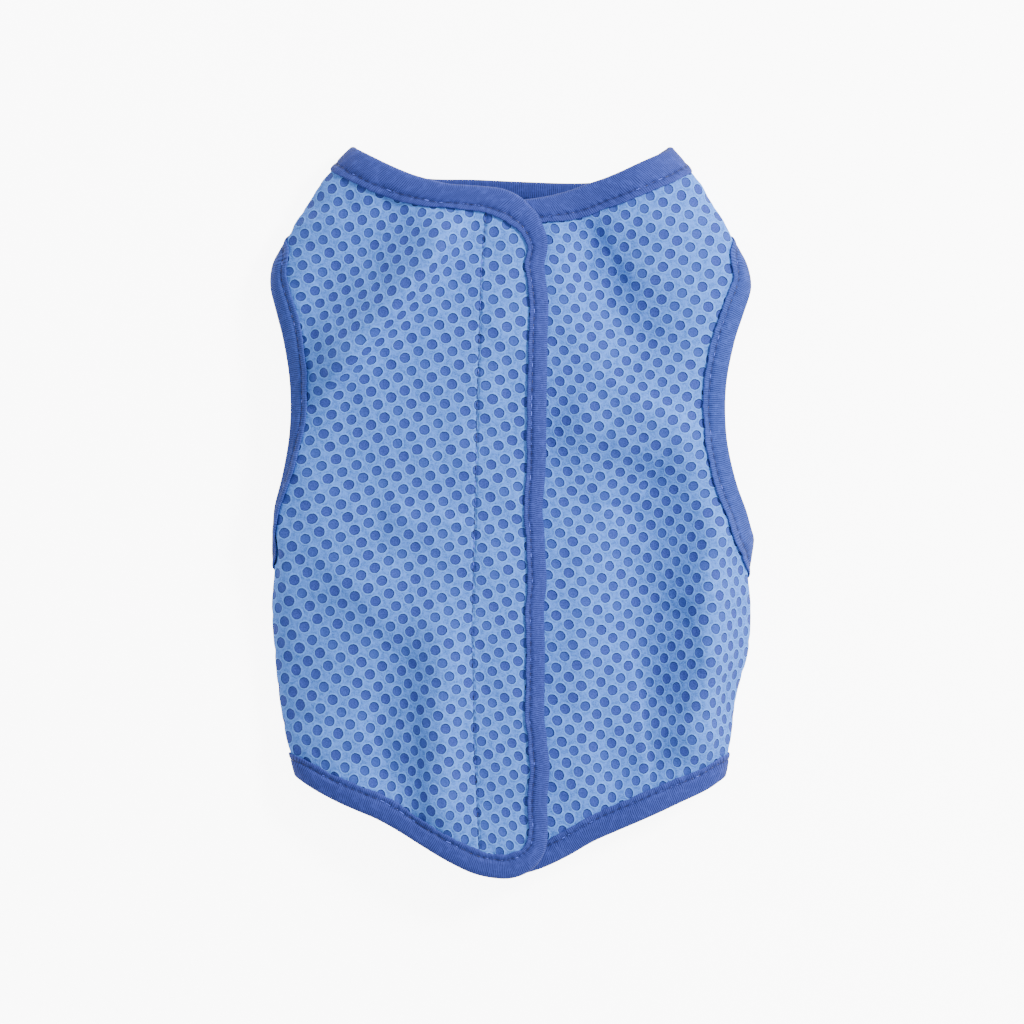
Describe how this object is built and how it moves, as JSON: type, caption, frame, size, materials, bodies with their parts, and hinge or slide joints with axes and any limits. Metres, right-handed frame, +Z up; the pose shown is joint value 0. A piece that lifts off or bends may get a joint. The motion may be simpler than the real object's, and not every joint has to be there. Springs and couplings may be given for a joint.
{
  "type": "pet cooling vest",
  "caption": "Small pet's sleeveless cooling vest in dimpled knit, edges bound with folded tape, lying flat on its back and closed down the front by an overlap.",
  "frame": {"origin": "middle of the vest's footprint, on the surface it lies on", "axes": "+Z up from the surface, out of the front of the vest; +Y from hem to neck; +X towards the right side as seen from above"},
  "size_m": [0.1852, 0.2772, 0.0287],
  "materials": {
    "knit": "pale blue knit with pressed blue dots",
    "tape": "blue cross-ribbed woven tape",
    "fastener": "blue hook-and-loop tape"
  },
  "bodies": {
    "root": {"overlap_front_panel": "knit", "underlap_front_panel": "knit", "back_panel": "knit", "edge_binding": "tape", "left_armhole_binding": "tape", "right_armhole_binding": "tape", "hook_and_loop_strip": "fastener"}
  },
  "joints": []
}
